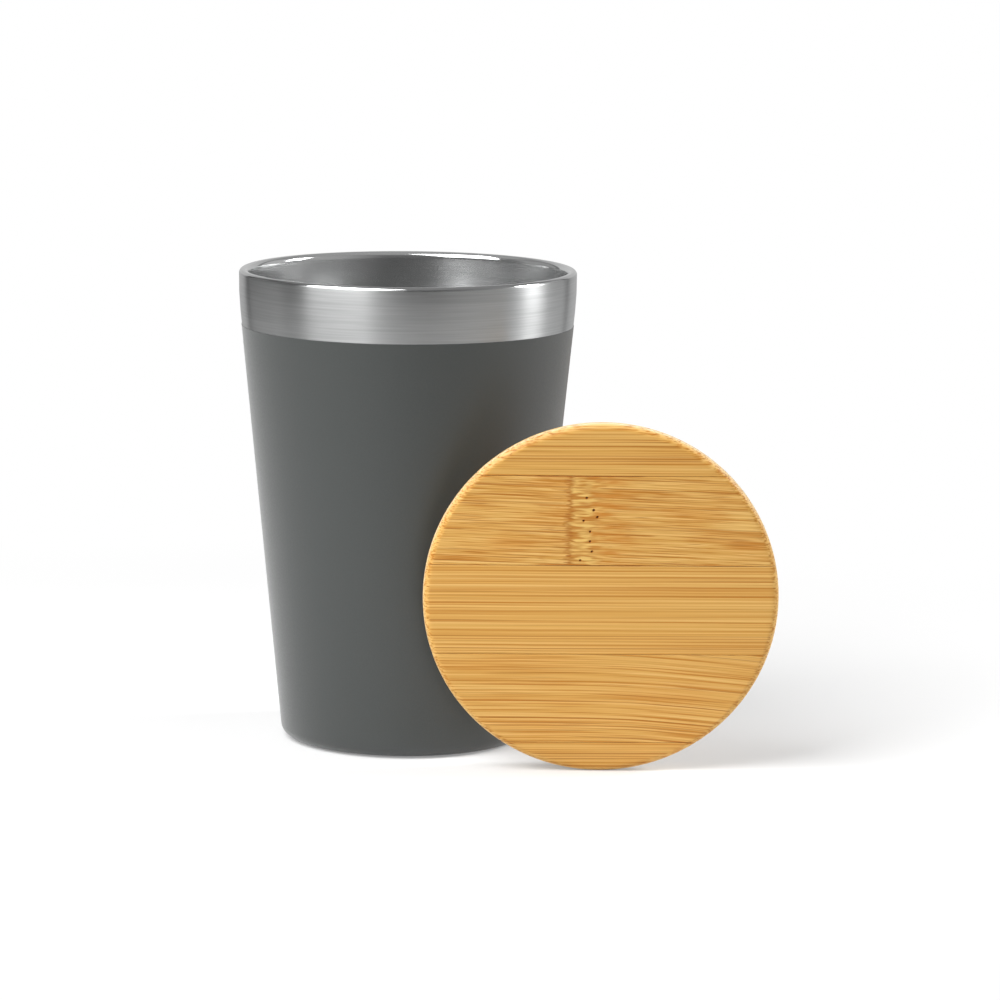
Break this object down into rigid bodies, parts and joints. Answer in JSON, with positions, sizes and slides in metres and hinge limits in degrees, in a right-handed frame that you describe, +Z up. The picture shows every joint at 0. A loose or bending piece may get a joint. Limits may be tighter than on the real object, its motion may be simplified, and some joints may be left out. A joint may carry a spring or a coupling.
{
  "type": "double-wall cup",
  "caption": "Tapered double-wall steel cup with a grey coat, a bare steel rim and a round bamboo plug lid that stands beside it.",
  "frame": {"origin": "middle of the cup's underside, on the table", "axes": "+Z up along the cup's axis, -Y towards the side where the lid stands, +X to the right of it"},
  "size_m": [0.1328, 0.089, 0.1177],
  "materials": {
    "shell_steel": "brushed round the rim, polished on the lip",
    "liner_steel": "satin",
    "grey_coat": "matt powder coat",
    "base_steel": "plain",
    "solder": "opaque solder glass",
    "getter_metal": "sintered",
    "pad_rubber": "matt",
    "bamboo": "sanded and oiled bamboo",
    "plug_bamboo": "turned bamboo",
    "silicone": "satin"
  },
  "bodies": {
    "cup": {"outer_shell": "shell_steel", "powder_coat": "grey_coat", "inner_liner": "liner_steel", "outer_base": "base_steel", "seal_bead": "solder", "getter": "getter_metal", "base_pad": "pad_rubber"},
    "lid": {"lid_slat_1": "bamboo", "lid_slat_2": "bamboo", "lid_slat_3": "bamboo", "lid_slat_4": "bamboo", "lid_slat_5": "bamboo", "lid_plug": "plug_bamboo", "lid_seal": "silicone"}
  },
  "joints": [
    {"name": "lid_lift", "type": "slide", "parent": "cup", "child": "lid", "axis": [0, -0.5, 0.866], "range_m": [0, 0.15]}
  ]
}
